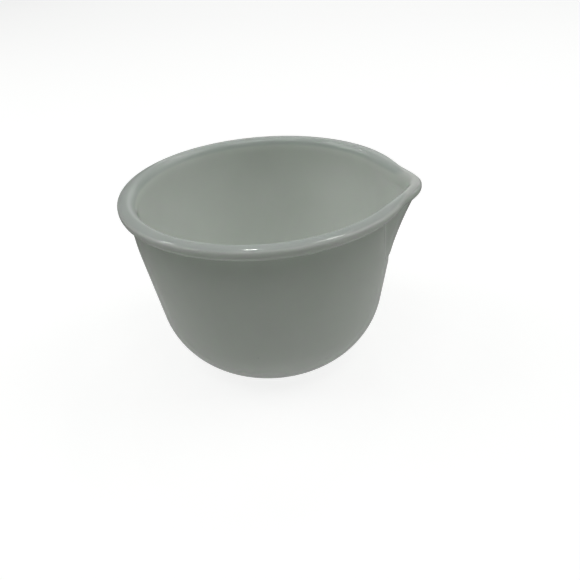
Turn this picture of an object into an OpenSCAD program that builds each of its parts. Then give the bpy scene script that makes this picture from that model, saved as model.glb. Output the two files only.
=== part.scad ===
// Small mixing bowl with a pouring spout, pressed in one piece from opal glass.
// The bowl stands on its foot at z = 0 with its axis on Z. The spout points along +X.

/* [Bowl] */
// Diameter across the rolled rim, without the spout
rim_d = 165; // [163:0.5:167]
// Height of the rim above the table
bowl_h = 103.6; // [99.6:0.5:108.6]
// Outside diameter of the wall halfway up
waist_d = 143; // [141:0.5:145]
// Lean of the wall from upright, in degrees
taper = 9.6; // [8.6:0.1:10.4]
// Thickness of the wall
wall_t = 4.9; // [4:0.1:6]
// Thickness of the floor
floor_t = 6.6; // [5:0.1:8]

/* [Rim] */
// Height of the rolled rim's outer band
lip_h = 6.8; // [6.2:0.1:8]
// Rounding of the band's lower outer edge
lip_low_r = 3.9; // [2:0.1:4]
// Rounding of the band's upper outer edge
lip_top_r = 1.7; // [1:0.1:2]
// Rounding of the rim's inner edge
lip_in_r = 3; // [1.5:0.1:4]

/* [Spout] */
// How far the spout's tip stands out past the rim
spout_reach = 7.2; // [6:0.1:9]
// Angle between the spout's middle line and its rim, in degrees
spout_spread = 61; // [58:0.5:63]
// Radius of the spout's tip
tip_r = 12.3; // [12:0.1:12.3]
// How far the prow under the spout stands out from the wall, just below the rim
prow_reach = 10; // [8:0.1:10.4]
// Height at which the prow rises out of the wall
prow_z = 59; // [50:1:66]

/* [Foot] */
// Radius of the curve from the wall to the foot
heel_r = 49.2; // [48:0.1:52]
// Radius of the curve from the wall to the floor, inside
bowl_in_r = 30; // [24:1:32]
// Diameter of the hollow under the foot
recess_d = 82; // [60:1:88]
// Depth of the hollow under the foot
recess_depth = 1.2; // [0.5:0.1:2]

/* [Hidden] */
$fn = 180;

glass_color = [0.68, 0.72, 0.69];
over = 12;    // how far a cut runs on past the glass

rim_r = rim_d / 2;
lip_z = bowl_h - lip_h;

// The outside is a straight taper between two arcs, which it meets without a corner.
heel_z = 30.7;    // the lower arc ends here
neck_z = 71.5;    // the upper arc starts here
neck_r = 158;     // the upper arc brings the wall upright under the rim
foot_r = 2;       // rounding where the heel meets the table
recess_slope = 2.5;
heel_c = [taper_r(heel_z) - heel_r * cos(taper), heel_z + heel_r * sin(taper)];
neck_c = [taper_r(neck_z) - neck_r * cos(taper), neck_z + neck_r * sin(taper)];
neck_turn = asin((lip_z - neck_c[1]) / neck_r);
neck_top_r = neck_c[0] + neck_r * cos(neck_turn);
foot_c = [heel_c[0] + sqrt((heel_r - foot_r)^2 - (heel_c[1] - foot_r)^2), foot_r];
foot_turn = atan2(foot_r - heel_c[1], foot_c[0] - heel_c[0]);

// The inside curve touches the floor and the inside of the taper.
in_z = floor_t + bowl_in_r * (1 - sin(taper));
in_c = [taper_r(in_z) - wall_t - bowl_in_r * cos(taper), floor_t + bowl_in_r];
in_edge_c = [neck_top_r - wall_t + lip_in_r, bowl_h - lip_in_r];

// The spout's rim is an arc round the tip between two straight sides.
spout_turn = 90 - spout_spread;
tip_c = rim_r + spout_reach - tip_r;
side_l = 23;      // the sides end inside the round rim

// The prow is a blunt wedge that leans out from the wall to the tip.
// The groove inside the spout is a wedge of the same lean, one wall further in.
prow_half = 61;   // half angle of the prow's wedge
groove_half = 55; // half angle of the groove's wedge
blunt_r = 5;      // radius of the wedges' edges
wedge_l = 20;     // depth of the wedges
prow_run = [neck_top_r + prow_reach - taper_r(prow_z), lip_z - prow_z];
prow_lean = atan2(prow_run[0], prow_run[1]);
prow_tuck = 1;    // the prow ends this far up inside the rim

function taper_r(z) = waist_d / 2 + tan(taper) * (z - bowl_h / 2);

// Points along an arc, from angle a to angle b
function arc(c, r, a, b, steps) =
    [for (i = [0:steps]) c + r * [cos(a + (b - a) * i / steps), sin(a + (b - a) * i / steps)]];

// The rolled edge of the rim, from its underside to its top, with its outermost point at r
function band(r) = concat(
    arc([r - lip_low_r, lip_z + lip_low_r], lip_low_r, -90, 0, 6),
    arc([r - lip_top_r, bowl_h - lip_top_r], lip_top_r, 0, 90, 4));

function outside_section() = concat(
    [[0, recess_depth], [recess_d / 2 - recess_slope, recess_depth], [recess_d / 2, 0]],
    arc(foot_c, foot_r, -90, foot_turn, 5),
    arc(heel_c, heel_r, foot_turn, -taper, 20),
    arc(neck_c, neck_r, -taper, neck_turn, 8),
    band(rim_r),
    [[0, bowl_h]]);

function inside_section() = concat(
    [[0, floor_t]],
    arc(in_c, bowl_in_r, -90, -taper, 16),
    arc(neck_c - [wall_t, 0], neck_r, -taper, neck_turn, 8),
    arc(in_edge_c, lip_in_r, 180, 90, 7),
    [[in_edge_c[0], bowl_h + over], [0, bowl_h + over]]);

// A wedge with a blunt edge on the Z axis, opening towards -X
function wedge_section(half) = concat(
    arc([-blunt_r, 0], blunt_r, half - 90, 90 - half, 6),
    [[-wedge_l, wedge_l * tan(half)], [-wedge_l, -wedge_l * tan(half)]]);

// The wedge, leaning out through the wall and past the top of the rim, a step in from the prow
module wedge(half, step) {
    translate([taper_r(prow_z) - step, 0, prow_z])
        rotate([0, prow_lean, 0])
            translate([0, 0, -over])
                linear_extrude(bowl_h) polygon(wedge_section(half));
}

module prow() {
    intersection() {
        wedge(prow_half, 0);
        translate([rim_r / 2, -rim_r, 0]) cube([rim_r, rim_d, lip_z + prow_tuck]);
    }
}

module spout_rim() {
    section = concat([[0, lip_z]], band(tip_r), [[0, bowl_h]]);
    translate([tip_c, 0, 0]) {
        rotate([0, 0, -spout_turn]) rotate_extrude(angle = 2 * spout_turn) polygon(section);
        for (side = [0, 1])
            mirror([0, side, 0])
                rotate([90, 0, spout_turn])
                    translate([0, 0, -side_l]) linear_extrude(side_l) polygon(section);
    }
}

module bowl() {
    color(glass_color)
        difference() {
            union() {
                rotate_extrude() polygon(outside_section());
                prow();
                spout_rim();
            }
            rotate_extrude() polygon(inside_section());
            wedge(groove_half, wall_t);
        }
}

bowl();
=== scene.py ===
import math

import bpy
from mathutils import Matrix, Vector


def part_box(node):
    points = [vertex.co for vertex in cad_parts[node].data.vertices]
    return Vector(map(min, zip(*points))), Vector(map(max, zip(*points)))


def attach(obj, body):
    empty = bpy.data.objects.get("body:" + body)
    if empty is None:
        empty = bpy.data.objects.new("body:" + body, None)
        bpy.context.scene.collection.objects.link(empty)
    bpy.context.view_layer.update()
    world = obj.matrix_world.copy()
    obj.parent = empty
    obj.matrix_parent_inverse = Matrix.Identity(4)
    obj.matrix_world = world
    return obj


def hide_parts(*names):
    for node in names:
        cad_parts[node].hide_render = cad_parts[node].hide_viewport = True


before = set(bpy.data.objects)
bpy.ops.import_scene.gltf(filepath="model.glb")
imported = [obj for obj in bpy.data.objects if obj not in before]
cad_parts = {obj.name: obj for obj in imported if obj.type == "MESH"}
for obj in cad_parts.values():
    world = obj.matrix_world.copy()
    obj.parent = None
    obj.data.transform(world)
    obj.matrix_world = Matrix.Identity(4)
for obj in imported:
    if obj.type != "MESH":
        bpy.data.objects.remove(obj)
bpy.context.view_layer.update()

MM = 0.001
SPOUT_HALF = math.radians(32)   # the skin is finer this far to each side of the spout
SPOUT_STEPS, PLAIN_STEPS = 80, 120    # columns of the skin there, and round the rest

# --- Sizes, in millimetres, in the CAD's own frame: axis on Z, foot at z = 0, spout along +X ---
BOX_LOW, BOX_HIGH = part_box("bowl")
RIM_R = -BOX_LOW[0] / MM
BOWL_H = BOX_HIGH[2] / MM
SPOUT_REACH = BOX_HIGH[0] / MM - RIM_R

TAPER = math.radians(9.6)       # lean of the wall
WAIST_R = 71.5                  # outer radius halfway up
WALL_T = 4.9
FLOOR_T = 6.6
HEEL_Z, HEEL_R = 30.7, 49.2     # curve from the foot to the wall: where it ends, and its radius
NECK_Z, NECK_R = 71.5, 158.0    # curve that brings the wall upright under the rim: its start and radius
FOOT_R = 2.0
BOWL_IN_R = 30.0                # curve from the wall to the floor, inside
RECESS_R, RECESS_DEPTH = 41.0, 1.2    # the hollow under the foot
RECESS_SLOPE = 2.5              # width of the slope round it

LIP_H = 6.8
LIP_Z = BOWL_H - LIP_H
LIP_LOW_R, LIP_TOP_R = 3.9, 1.5      # roundings of the rim's lower and upper outer edges
LIP_IN_W, LIP_IN_H = 4.6, 8.0        # rounding of its inner edge, which runs further down than across
LIP_FALL = math.radians(16.4)        # the rim's top is crowned, and falls by this angle to its outer edge
LIP_FILLET = 0.9                     # hollow corner between the wall and the rim's underside

# The spout's rim and the groove inside it are noses. Each has a fall per millimetre along the rim,
# a softness where it runs out, and a blunt tip.
TIP_NOSE = (0.41, 0.8, 5.2)
GROOVE_NOSE = (0.36, 2.3, 4.0)
PROW_Z, PROW_REACH, GROOVE_REACH = 54.0, 10.6, 8.8    # their root, and how far they stand out at the rim
ROOT_FADE = 4                                  # the groove dies away this much faster below its root
BIB_Z, BIB_HALF, BIB_SOFT = 56.0, 36.0, 1.2    # the prow stands in a half ellipse, which hangs from the rim
BIB_CURVE, BIB_TIP = 1.3, 2.0                  # its sides are a little hollow, and its ridge is rounded
PINCH, PINCH_WIDTH = 1.8, 4.0                  # the wall sinks a little before the prow's edge
PINCH_FADE = 1.5                               # the sinking fades out towards the prow's root
DIP, DIP_WIDTH = 1.2, 38.0                     # how far the rim sinks at the spout, and over what length
STIRRED_H = 45.0                               # spoons have left fine scratches this far up the inside

# --- Camera, in metres: the angle the bowl is seen from ---
CAMERA_AT = (0.0504, -0.3453, 0.2470)
CAMERA_LOOKS_AT = (0.0112, 0.0013, 0.0297)
CAMERA_ROLL = math.radians(-3.98)
CAMERA_LENS = 40.35


def arc(centre, radius, start, end, steps, flat=1.0):
    """Points along an arc, from angle start to angle end. flat is its height as a share of its width."""
    points = []
    for i in range(steps + 1):
        a = start + (end - start) * i / steps
        points.append((centre[0] + radius * math.cos(a), centre[1] + radius * flat * math.sin(a)))
    return points


def corner(start, tip, end, steps):
    """Points between start and end on a curve that leans to the corner at tip."""
    points = []
    for i in range(1, steps):
        t = i / steps
        weights = ((1 - t) ** 2, 2 * t * (1 - t), t ** 2)
        points.append(tuple(sum(w * p[k] for w, p in zip(weights, (start, tip, end))) for k in (0, 1)))
    return points


def taper_r(z):
    """Outer radius of the wall's straight part, carried on to any height."""
    return WAIST_R + math.tan(TAPER) * (z - BOWL_H / 2)


HEEL_C = (taper_r(HEEL_Z) - HEEL_R * math.cos(TAPER), HEEL_Z + HEEL_R * math.sin(TAPER))
NECK_C = (taper_r(NECK_Z) - NECK_R * math.cos(TAPER), NECK_Z + NECK_R * math.sin(TAPER))
FOOT_C = (HEEL_C[0] + math.sqrt((HEEL_R - FOOT_R) ** 2 - (HEEL_C[1] - FOOT_R) ** 2), FOOT_R)
FOOT_TURN = math.atan2(FOOT_R - HEEL_C[1], FOOT_C[0] - HEEL_C[0])
IN_Z = FLOOR_T + BOWL_IN_R * (1 - math.sin(TAPER))
IN_C = (taper_r(IN_Z) - WALL_T - BOWL_IN_R * math.cos(TAPER), FLOOR_T + BOWL_IN_R)


def wall_r(z):
    """Outer radius of the round wall at height z, above the heel."""
    if z < NECK_Z:
        return taper_r(z)
    return NECK_C[0] + math.sqrt(NECK_R ** 2 - (min(z, NECK_C[1]) - NECK_C[1]) ** 2)


def nose(s, peak, shape):
    """How far a nose with this peak stands out, at a distance s along the rim from its middle."""
    slope, soft, blunt = shape
    side = peak - slope * ((abs(s) ** 3 + blunt ** 3) ** (1 / 3) - blunt)
    return soft * math.log1p(math.exp(side / soft))


def lift(z):
    """The prow's growth with height: 0 at its root, 1 at the rim, and less than 0 below the root."""
    u = (min(z, LIP_Z) - PROW_Z) / (LIP_Z - PROW_Z)
    return u * abs(u) * (ROOT_FADE if u < 0 else 1)


def prow(s, z):
    """How far the outside of the wall has moved out at s and z: in before the prow's edge, then out."""
    down = (LIP_Z - min(z, LIP_Z)) / (LIP_Z - BIB_Z)
    if down >= 1:
        return 0.0
    half = BIB_HALF * math.sqrt(1 - down ** 2)
    rounded = math.sqrt(s ** 2 + BIB_TIP ** 2) - BIB_TIP
    side = BIB_SOFT * math.log1p(math.exp((half - rounded) / BIB_SOFT))
    sunk = PINCH * min(1, half / BIB_HALF * PINCH_FADE) * math.exp(-(((abs(s) - half) / PINCH_WIDTH) ** 2))
    return PROW_REACH * max(0, lift(z)) * (side / half) ** BIB_CURVE - sunk


def groove(s, z):
    """How far the inside of the wall has moved out at s and z."""
    return nose(s, GROOVE_REACH * lift(z), GROOVE_NOSE)


def dip(s):
    """How far the rim has sunk at s."""
    return DIP * math.exp(-((s / DIP_WIDTH) ** 2))


def wall_skin(low, high, steps, inset, moved, s):
    """Points up the wall, a step in from its outside, and moved out by the prow or the groove."""
    points = []
    for i in range(steps + 1):
        z = low + (high - low) * i / steps
        points.append((wall_r(z) - inset + moved(s, z), z))
    return points


def recess():
    """Points down the soft slope round the hollow under the foot."""
    points = []
    steps = 8
    for i in range(steps + 1):
        t = i / steps
        points.append((RECESS_R - RECESS_SLOPE * (1 - t), RECESS_DEPTH * (1 + math.cos(math.pi * t)) / 2))
    return points


def band(s):
    """The rolled rim at s, from the hollow corner under it, over the top and down to the inner wall."""
    top_z = BOWL_H - dip(s)
    out_r = RIM_R + nose(s, SPOUT_REACH, TIP_NOSE)
    wall_top = wall_r(LIP_Z) + prow(s, LIP_Z)
    low_c = (out_r - LIP_LOW_R, top_z - LIP_H + LIP_LOW_R)
    in_c = (wall_r(LIP_Z) - WALL_T + groove(s, LIP_Z) + LIP_IN_W, top_z - LIP_IN_H)
    crown_r = (out_r - LIP_TOP_R - in_c[0]) / math.sin(LIP_FALL) + LIP_TOP_R
    crown_c = (in_c[0], top_z - crown_r)
    top_c = (out_r - LIP_TOP_R, crown_c[1] + (crown_r - LIP_TOP_R) * math.cos(LIP_FALL))
    # The prow runs up into the rim's lower rounding, which starts partway there.
    ledge = low_c[0] - wall_top
    start = -math.acos(min(1, max(0, -ledge / LIP_LOW_R)))
    under = (wall_top, low_c[1] + LIP_LOW_R * math.sin(start))
    below = (wall_top, under[1] - LIP_FILLET)
    start += max(0, LIP_FILLET - max(0, ledge)) / LIP_LOW_R
    upright, turn = math.pi / 2, math.pi / 2 - LIP_FALL
    outer = arc(low_c, LIP_LOW_R, start, 0, 14) + arc(top_c, LIP_TOP_R, 0, turn, 12)
    outer += arc(crown_c, crown_r, turn, upright, 8)[1:]
    inner = arc(in_c, LIP_IN_W, upright, math.pi, 20, LIP_IN_H / LIP_IN_W)[1:]
    return [below] + corner(below, under, outer[0], 6) + outer, inner


def section(azimuth):
    """The glass's outline at this azimuth from the spout: the foot, the outside and rim, and the inside."""
    s = azimuth * RIM_R
    outer, inner = band(s)
    foot = recess() + arc(FOOT_C, FOOT_R, -math.pi / 2, FOOT_TURN, 8)
    outside = arc(HEEL_C, HEEL_R, FOOT_TURN, -TAPER, 30)[1:]
    outside += wall_skin(HEEL_Z, outer[0][1], 48, 0, prow, s)[1:-1]
    inside = wall_skin(IN_Z, inner[-1][1], 48, WALL_T, groove, s)[-2::-1]
    inside += arc(IN_C, BOWL_IN_R, -TAPER, -math.pi / 2, 24)[1:]
    return foot, outside + outer + inner, inside


def azimuths():
    """Azimuths right round the bowl, closer together at the spout."""
    fine = [SPOUT_HALF * (2 * i / SPOUT_STEPS - 1) for i in range(SPOUT_STEPS)]
    rest = 2 * math.pi - 2 * SPOUT_HALF
    return fine + [SPOUT_HALF + rest * i / PLAIN_STEPS for i in range(PLAIN_STEPS)]


def build_bowl():
    """One closed skin of glass, from the middle of the foot round to the middle of the floor."""
    verts, faces, wear = [], [], []
    columns = azimuths()
    for azimuth in columns:
        turned = (azimuth + math.pi) % (2 * math.pi) - math.pi
        foot, outside, inside = section(turned)
        for r, z in foot + outside + inside:
            verts.append((r * math.cos(azimuth) * MM, r * math.sin(azimuth) * MM, z * MM))
        wear += [1 - z / RECESS_DEPTH if z < RECESS_DEPTH else 0 for r, z in foot]
        wear += [0] * len(outside)
        wear += [max(0, 1 - (z - FLOOR_T) / STIRRED_H) for r, z in inside]
    rows = len(verts) // len(columns)
    foot_middle, floor_middle = len(verts), len(verts) + 1
    verts += [(0, 0, RECESS_DEPTH * MM), (0, 0, FLOOR_T * MM)]
    wear += [0, 1]
    for i in range(len(columns)):
        here, there = i * rows, (i + 1) % len(columns) * rows
        faces.append((foot_middle, there, here))
        for j in range(rows - 1):
            faces.append((here + j, there + j, there + j + 1, here + j + 1))
        faces.append((here + rows - 1, there + rows - 1, floor_middle))
    mesh = bpy.data.meshes.new("bowl_glass")
    mesh.from_pydata(verts, [], faces)
    mesh.shade_smooth()
    mesh.attributes.new("wear", "FLOAT", "POINT").data.foreach_set("value", wear)
    bowl = bpy.data.objects.new("bowl_glass", mesh)
    bpy.context.scene.collection.objects.link(bowl)
    return bowl


NOISE_LOW, NOISE_HIGH = 0.3, 0.7    # a noise mostly stays between these


class Nodes:
    """A short way to write a material's nodes."""

    def __init__(self, name):
        self.material = bpy.data.materials.new(name)
        self.material.use_nodes = True
        self.tree = self.material.node_tree
        self.shader = self.tree.nodes["Principled BSDF"]

    def add(self, kind, inputs=(), **settings):
        """Adds a node. An input is a value, or a socket to link from."""
        node = self.tree.nodes.new(kind)
        for key, value in settings.items():
            setattr(node, key, value)
        for key, value in dict(inputs).items():
            self.put(node.inputs[key], value)
        return node

    def put(self, socket, value):
        if isinstance(value, bpy.types.NodeSocket):
            self.tree.links.new(value, socket)
        else:
            socket.default_value = value

    def noise(self, place, scale, detail):
        """Soft noise from 0 to 1. scale is in waves per metre, and detail in finer layers."""
        noise = self.add("ShaderNodeTexNoise", {"Vector": place, "Scale": scale, "Detail": detail})
        return self.remap(noise.outputs["Fac"], NOISE_LOW, NOISE_HIGH, 0, 1)

    def remap(self, value, low, high, to_low, to_high):
        """Takes low..high to to_low..to_high, and stops there."""
        inputs = {"Value": value, "From Min": low, "From Max": high, "To Min": to_low, "To Max": to_high}
        return self.add("ShaderNodeMapRange", inputs).outputs["Result"]

    def math(self, operation, a, b=0.0):
        return self.add("ShaderNodeMath", {0: a, 1: b}, operation=operation).outputs["Value"]

    def mix(self, factor, a, b):
        """Colour a where factor is 0, and b where it is 1."""
        node = self.add("ShaderNodeMix", {"Factor": factor}, data_type="RGBA")
        self.put(node.inputs[6], a)    # 6, 7 and 2 are the sockets for colours
        self.put(node.inputs[7], b)
        return node.outputs[2]


GLASS = (0.825, 0.86, 0.82)        # opal white, with a breath of green
CLOUD_DARK, CLOUD_LIGHT = 0.975, 1.02    # faint clouds in it, as shares of that colour
RIM_SHADE_TONE = (0.68, 0.72, 0.70, 1)   # painted shade: the top of the rim is coloured darker and cooler, standing in for less light from above
RIM_CLEAR, RIM_FADE = 3.0, 4.5     # mm down from the rim's top: wholly so above, and not at all below
# Past a line RIM_BACK mm in from the rim's edge, each mm outward counts as RIM_TURN mm down.
RIM_BACK, RIM_TURN = 5.0, 0.7
SEED_TONE = 0.55                   # tiny grey seeds shut in the glass
SEED_CELL, SEED_R = 0.009, 0.0003  # metres: size of the cells that may hold one, and its radius
SEED_CORE = 0.5                    # it is solid out to this share of its radius
SEED_SHARE = 0.2                   # this share of the cells holds one
POLISHED, SCUFFED = 0.055, 0.2     # roughness
POLISH_LOW, POLISH_HIGH = 0.045, 0.075    # roughness of an unworn skin varies between these
RIPPLE = 0.00012                   # metres: height of the slow ripple left by the mould
PEEL = 0.000003                    # metres: height of the fine unevenness of the fire-polished skin
SCRATCH = 0.000006                 # metres: depth of the fine scratches
SCRATCH_STRETCH = 40.0             # how much longer than wide they are
SCATTER = 0.009                    # metres: how far light spreads inside the glass
SPREAD = (1.0, 1.1, 1.0)           # green light spreads a little further
GLASS_IOR = 1.5
# Noises: waves per metre, and how many finer layers they have
CLOUD_NOISE = (22, 3)
SCRATCH_NOISE = (90, 4)
SKIN_NOISE = (70, 4)
RIPPLE_NOISE = (38, 1)
PEEL_NOISE = (420, 2)


def toned(share):
    """The glass's colour, made darker or lighter by a share."""
    return tuple(c * share for c in GLASS) + (1,)


def opal_glass():
    """White opal glass, pressed and fire-polished: glossy, softly translucent, and uneven close up."""
    m = Nodes("opal_glass")
    place = m.add("ShaderNodeTexCoord").outputs["Object"]
    wear = m.add("ShaderNodeAttribute", attribute_name="wear").outputs["Fac"]
    split = m.add("ShaderNodeSeparateXYZ", {"Vector": place}).outputs
    radius = m.math("SQRT", m.math("ADD", m.math("MULTIPLY", split["X"], split["X"]),
                                   m.math("MULTIPLY", split["Y"], split["Y"])))

    clouds_and_rim_shade = m.mix(m.noise(place, *CLOUD_NOISE), toned(CLOUD_DARK), toned(CLOUD_LIGHT))
    # Painted shade: the rim's top and outer rounding are coloured darker and cooler, to damp the light they
    # catch from above.
    past = m.math("MAXIMUM", m.math("SUBTRACT", radius, (RIM_R - RIM_BACK) * MM), 0.0)
    down = m.math("ADD", m.math("SUBTRACT", BOWL_H * MM, split["Z"]), m.math("MULTIPLY", past, RIM_TURN))
    rim_shade = m.remap(down, RIM_CLEAR * MM, RIM_FADE * MM, 1, 0)
    clouds_and_rim_shade = m.mix(rim_shade, clouds_and_rim_shade, RIM_SHADE_TONE)
    cells = m.add("ShaderNodeTexVoronoi", {"Vector": place, "Scale": 1 / SEED_CELL})
    edge = SEED_R / SEED_CELL
    seed = m.remap(cells.outputs["Distance"], edge * SEED_CORE, edge, 1, 0)
    lot = m.add("ShaderNodeSeparateColor", {"Color": cells.outputs["Color"]}).outputs[0]
    chosen = m.math("GREATER_THAN", lot, 1 - SEED_SHARE)
    m.put(m.shader.inputs["Base Color"], m.mix(m.math("MULTIPLY", seed, chosen), clouds_and_rim_shade, toned(SEED_TONE)))

    # Scratches run round the bowl: the noise changes much faster outward from the axis than along them.
    outward = m.math("MULTIPLY", radius, SCRATCH_STRETCH)
    rings = m.add("ShaderNodeCombineXYZ", {"X": outward, "Y": split["X"], "Z": split["Z"]})
    scratches = m.noise(rings.outputs["Vector"], *SCRATCH_NOISE)
    worn = m.math("MULTIPLY", wear, scratches)
    skin = m.remap(m.noise(place, *SKIN_NOISE), 0, 1, POLISH_LOW, POLISH_HIGH)
    rough = m.math("ADD", skin, m.math("MULTIPLY", worn, SCUFFED - POLISHED))
    m.put(m.shader.inputs["Roughness"], rough)

    ripple = m.math("MULTIPLY", m.noise(place, *RIPPLE_NOISE), RIPPLE)
    peel = m.math("MULTIPLY", m.noise(place, *PEEL_NOISE), PEEL)
    scored = m.math("MULTIPLY", worn, -SCRATCH)
    height = m.math("ADD", m.math("ADD", ripple, peel), scored)
    bump = m.add("ShaderNodeBump", {"Height": height, "Strength": 1.0, "Distance": 1.0})
    m.put(m.shader.inputs["Normal"], bump.outputs["Normal"])

    m.shader.inputs["IOR"].default_value = GLASS_IOR
    m.shader.inputs["Subsurface Weight"].default_value = 1.0
    m.shader.inputs["Subsurface Radius"].default_value = SPREAD
    m.shader.inputs["Subsurface Scale"].default_value = SCATTER
    return m.material


FLOOR_HALF = 4.0                        # metres
FLOOR_TONE = (0.25, 0.25, 0.24, 1)      # what the floor gives back to the bowl
# It glows a little in between, more near the bowl, which lights the heel, and more far away.
MIDDLE_GLOW, NEAR_GLOW, FAR_GLOW = 0.01, 0.25, 0.5
NEAR_FULL, NEAR_END = 0.112, 0.196    # metres: the near glow is full up to the first, and ends at the second
FAR_START, FAR_FULL = 0.72, 1.2       # metres: the far glow starts at the first, and is full at the second
PALE_TONE = (0.45, 0.45, 0.45, 1)       # how the floor is seen: pale, with a light shadow
PALE_GLOW = 0.8


def shine(m, tone, glow):
    """A matt surface that also glows."""
    diffuse = m.add("ShaderNodeBsdfDiffuse", {"Color": tone})
    emission = m.add("ShaderNodeEmission", {"Strength": glow})
    return m.add("ShaderNodeAddShader", {0: diffuse.outputs[0], 1: emission.outputs[0]}).outputs[0]


def pale_floor():
    """A table that looks pale, but gives the bowl only a little light, which varies with the distance."""
    m = Nodes("pale_floor")
    place = m.add("ShaderNodeTexCoord").outputs["Object"]
    away = m.add("ShaderNodeVectorMath", {0: place}, operation="LENGTH").outputs["Value"]
    near = m.remap(away, NEAR_FULL, NEAR_END, NEAR_GLOW - MIDDLE_GLOW, 0)
    far = m.remap(away, FAR_START, FAR_FULL, MIDDLE_GLOW, FAR_GLOW)
    glow = m.math("ADD", near, far)
    seen = m.add("ShaderNodeLightPath").outputs["Is Camera Ray"]
    inputs = {0: seen, 1: shine(m, FLOOR_TONE, glow), 2: shine(m, PALE_TONE, PALE_GLOW)}
    mixed = m.add("ShaderNodeMixShader", inputs)
    m.put(m.tree.nodes["Material Output"].inputs["Surface"], mixed.outputs[0])
    m.tree.nodes.remove(m.shader)
    return m.material


def build_floor():
    mesh = bpy.data.meshes.new("floor")
    h = FLOOR_HALF
    mesh.from_pydata([(-h, -h, 0), (h, -h, 0), (h, h, 0), (-h, h, 0)], [], [(0, 1, 2, 3)])
    mesh.materials.append(pale_floor())
    floor = bpy.data.objects.new("floor", mesh)
    bpy.context.scene.collection.objects.link(floor)


def aim(thing, at, looks_at, roll=0.0):
    """Puts a camera or a lamp at a place, turned towards another."""
    way = Vector(looks_at) - Vector(at)
    turn = way.to_track_quat("-Z", "Y").to_matrix().to_4x4()
    thing.matrix_world = Matrix.Translation(at) @ turn @ Matrix.Rotation(roll, 4, "Z")


def build_camera():
    data = bpy.data.cameras.new("camera")
    data.lens = CAMERA_LENS
    data.clip_start = 0.01
    camera = bpy.data.objects.new("camera", data)
    bpy.context.scene.collection.objects.link(camera)
    aim(camera, CAMERA_AT, CAMERA_LOOKS_AT, CAMERA_ROLL)
    bpy.context.scene.camera = camera


LAMP_TINT = (0.975, 1.0, 0.965)    # a breath of green
BOWL_MIDDLE = (0, 0, 0.06)         # metres: every lamp is turned towards it


def build_lamp(name, size, glow):
    """A rectangular lamp of that brightness, which shows only as light and as a reflection."""
    data = bpy.data.lights.new(name, "AREA")
    data.shape = "RECTANGLE"
    data.size, data.size_y = size
    data.energy = glow * math.pi * size[0] * size[1]
    data.color = LAMP_TINT
    lamp = bpy.data.objects.new(name, data)
    bpy.context.scene.collection.objects.link(lamp)
    lamp.visible_camera = False
    return lamp


# Soft boxes: place, size in metres, and brightness
SOFT_BOXES = {
    "over": ((0, 0, 1.4), (0.8, 0.8), 0.9),
    "over_front": ((0, -0.4, 1.4), (1.0, 0.6), 1.0),
    "high_left": ((-1.1, 0.1, 1.2), (1.0, 1.0), 1.6),
    "high_right": ((1.0, 0.3, 1.3), (1.0, 1.0), 1.5),
    "low_right": ((1.8, 0.4, 0.5), (1.6, 0.7), 0.6),
    "low_back": ((0, 1.9, 0.6), (1.6, 0.8), 0.5),
}
# Small bare lamps behind the bowl. Each stands where the front rim's crown mirrors it as a streak.
BARE_LAMPS = {
    "bare_left": ((-0.7, 0.8, 1.2), (0.1, 0.1), 10),
    "bare_back": ((-0.2, 0.82, 1.29), (0.05, 0.12), 15),
    "bare_right": ((0.25, 0.84, 1.29), (0.16, 0.12), 9),
}


def build_lights():
    for name, (at, size, glow) in (SOFT_BOXES | BARE_LAMPS).items():
        aim(build_lamp(name, size, glow), at, BOWL_MIDDLE)


WORLD_GLOW, WORLD_SEEN = 0.02, 0.9    # its strength as light, and as it is seen


def build_world():
    """Dim as light, but seen nearly white, behind the floor."""
    world = bpy.data.worlds.new("studio")
    bpy.context.scene.world = world
    world.use_nodes = True
    nodes, links = world.node_tree.nodes, world.node_tree.links
    strength = nodes.new("ShaderNodeMapRange")
    strength.inputs["To Min"].default_value = WORLD_GLOW
    strength.inputs["To Max"].default_value = WORLD_SEEN
    links.new(nodes.new("ShaderNodeLightPath").outputs["Is Camera Ray"], strength.inputs["Value"])
    links.new(strength.outputs["Result"], nodes["Background"].inputs["Strength"])
    nodes["Background"].inputs["Color"].default_value = (1, 1, 1, 1)


bowl = build_bowl()
bowl.data.materials.append(opal_glass())
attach(bowl, "root")
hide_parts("bowl")

build_floor()
build_camera()
build_lights()
build_world()
bpy.context.scene.view_settings.view_transform = "Standard"
